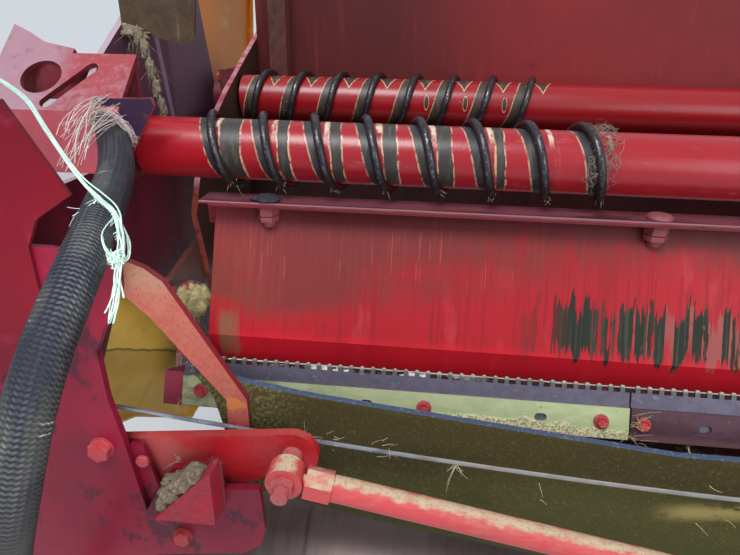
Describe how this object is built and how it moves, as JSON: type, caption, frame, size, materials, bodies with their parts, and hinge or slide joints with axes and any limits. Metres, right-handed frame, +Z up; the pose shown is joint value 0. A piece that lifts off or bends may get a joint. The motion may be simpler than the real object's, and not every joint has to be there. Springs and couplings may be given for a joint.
{
  "type": "net wrap feed and knife unit of a round baler",
  "caption": "Net wrap unit of a round baler: spiral feed rolls over a guide panel, a swinging toothed knife, rubber apron, floor roll and cross-linked trip cranks.",
  "frame": {"origin": "centre of the bolt pattern on the rear face of the cross beam", "axes": "+X along the rolls, to the right seen from the front; +Y back into the baler; +Z up"},
  "size_m": [1.92, 1.1162, 0.94],
  "materials": {
    "roll_red": "gloss, worn dark between the turns",
    "spiral_steel": "worn rod",
    "floor_roll_steel": "polished by crop, brown film",
    "panel_red": "scratched satin",
    "rail_red": "dusty satin",
    "back_red": "satin",
    "side_plate_paint": "dusty satin",
    "wall_mauve": "satin",
    "shield_yellow": "satin",
    "zinc_strip": "passivated zinc",
    "dark_strip": "worn",
    "blade_steel": "worn teeth",
    "apron_rubber": "dusty",
    "hose_rubber": "ribbed sleeve",
    "fitting_steel": "dull",
    "cable_steel": "stranded",
    "bearing_iron": "painted",
    "rod_red": "dusty gloss",
    "frame_red": "satin"
  },
  "bodies": {
    "frame": {"apron": "apron_rubber", "apron_bar": "frame_red", "back_channels": "back_red", "back_panel": "back_red", "brace_left": "frame_red", "brace_right": "frame_red", "cable_anchor_left": "fitting_steel", "cable_anchor_right": "fitting_steel", "cross_beam": "back_red", "dust_plate_left": "frame_red", "dust_plate_right": "frame_red", "floor_bearing_left": "bearing_iron", "floor_bearing_right": "bearing_iron", "foot_gusset_left": "frame_red", "front_bearing_left": "bearing_iron", "front_bearing_right": "bearing_iron", "front_cover_left": "frame_red", "front_cover_right": "frame_red", "guide_panel": "panel_red", "guide_rail": "rail_red", "hose": "hose_rubber", "hose_fitting": "fitting_steel", "hose_socket": "fitting_steel", "idler_hanger": "frame_red", "knife_hanger_left": "frame_red", "knife_hanger_right": "frame_red", "net_chute": "back_red", "outer_wall_left": "wall_mauve", "outer_wall_right": "wall_mauve", "post_left": "frame_red", "post_right": "frame_red", "rear_bearing_left": "bearing_iron", "rear_bearing_right": "bearing_iron", "roll_bracket_left": "frame_red", "roll_bracket_right": "frame_red", "side_plate_left": "side_plate_paint", "side_plate_right": "side_plate_paint", "side_shield_left": "shield_yellow", "side_shield_right": "shield_yellow", "steel_cable": "cable_steel"},
    "front_roll": {"front_roll": "roll_red", "front_roll_spirals": "spiral_steel"},
    "rear_roll": {"rear_roll": "roll_red", "rear_roll_spirals": "spiral_steel"},
    "floor_roll": {"floor_roll": "floor_roll_steel"},
    "knife": {"knife_tube": "frame_red", "blade_left": "blade_steel", "blade_middle": "blade_steel", "blade_right": "blade_steel", "clamp_strip_left": "zinc_strip", "clamp_strip_middle": "dark_strip", "clamp_strip_right": "dark_strip", "knife_arm_left": "frame_red", "knife_arm_right": "frame_red"},
    "crank": {"crank_near": "frame_red", "crank_stud_near": "rod_red"},
    "trip_rod": {"link_rod": "rod_red"},
    "idler": {"crank_far": "frame_red", "crank_stud_far": "rod_red"}
  },
  "joints": [
    {"name": "front_roll_turn", "type": "hinge", "parent": "frame", "child": "front_roll", "pos_m": [0, -0.5, 0], "axis": [1, 0, 0], "continuous": true},
    {"name": "rear_roll_turn", "type": "hinge", "parent": "frame", "child": "rear_roll", "pos_m": [0, -0.204, 0.026], "axis": [1, 0, 0], "continuous": true},
    {"name": "floor_roll_turn", "type": "hinge", "parent": "frame", "child": "floor_roll", "pos_m": [0, -0.56, -0.595], "axis": [1, 0, 0], "continuous": true},
    {"name": "knife_swing", "type": "hinge", "parent": "frame", "child": "knife", "pos_m": [0, -0.521, -0.187], "axis": [1, 0, 0], "range_deg": [-24, 0]},
    {"name": "crank_swing", "type": "hinge", "parent": "frame", "child": "crank", "pos_m": [-0.79, -0.712, -0.285], "axis": [0, 1, 0], "range_deg": [-12, 12]},
    {"name": "rod_pivot", "type": "hinge", "parent": "crank", "child": "trip_rod", "pos_m": [-0.588, -0.746, -0.26], "axis": [0, 1, 0], "range_deg": [-12, 12]},
    {"name": "idler_swing", "type": "hinge", "parent": "frame", "child": "idler", "pos_m": [0.09346, -0.712, -0.45673], "axis": [0, 1, 0], "range_deg": [-12, 12]}
  ],
  "couplings": [
    {"joint": "rod_pivot", "follows": "crank_swing", "ratio": -1},
    {"joint": "idler_swing", "follows": "crank_swing", "ratio": 1}
  ]
}
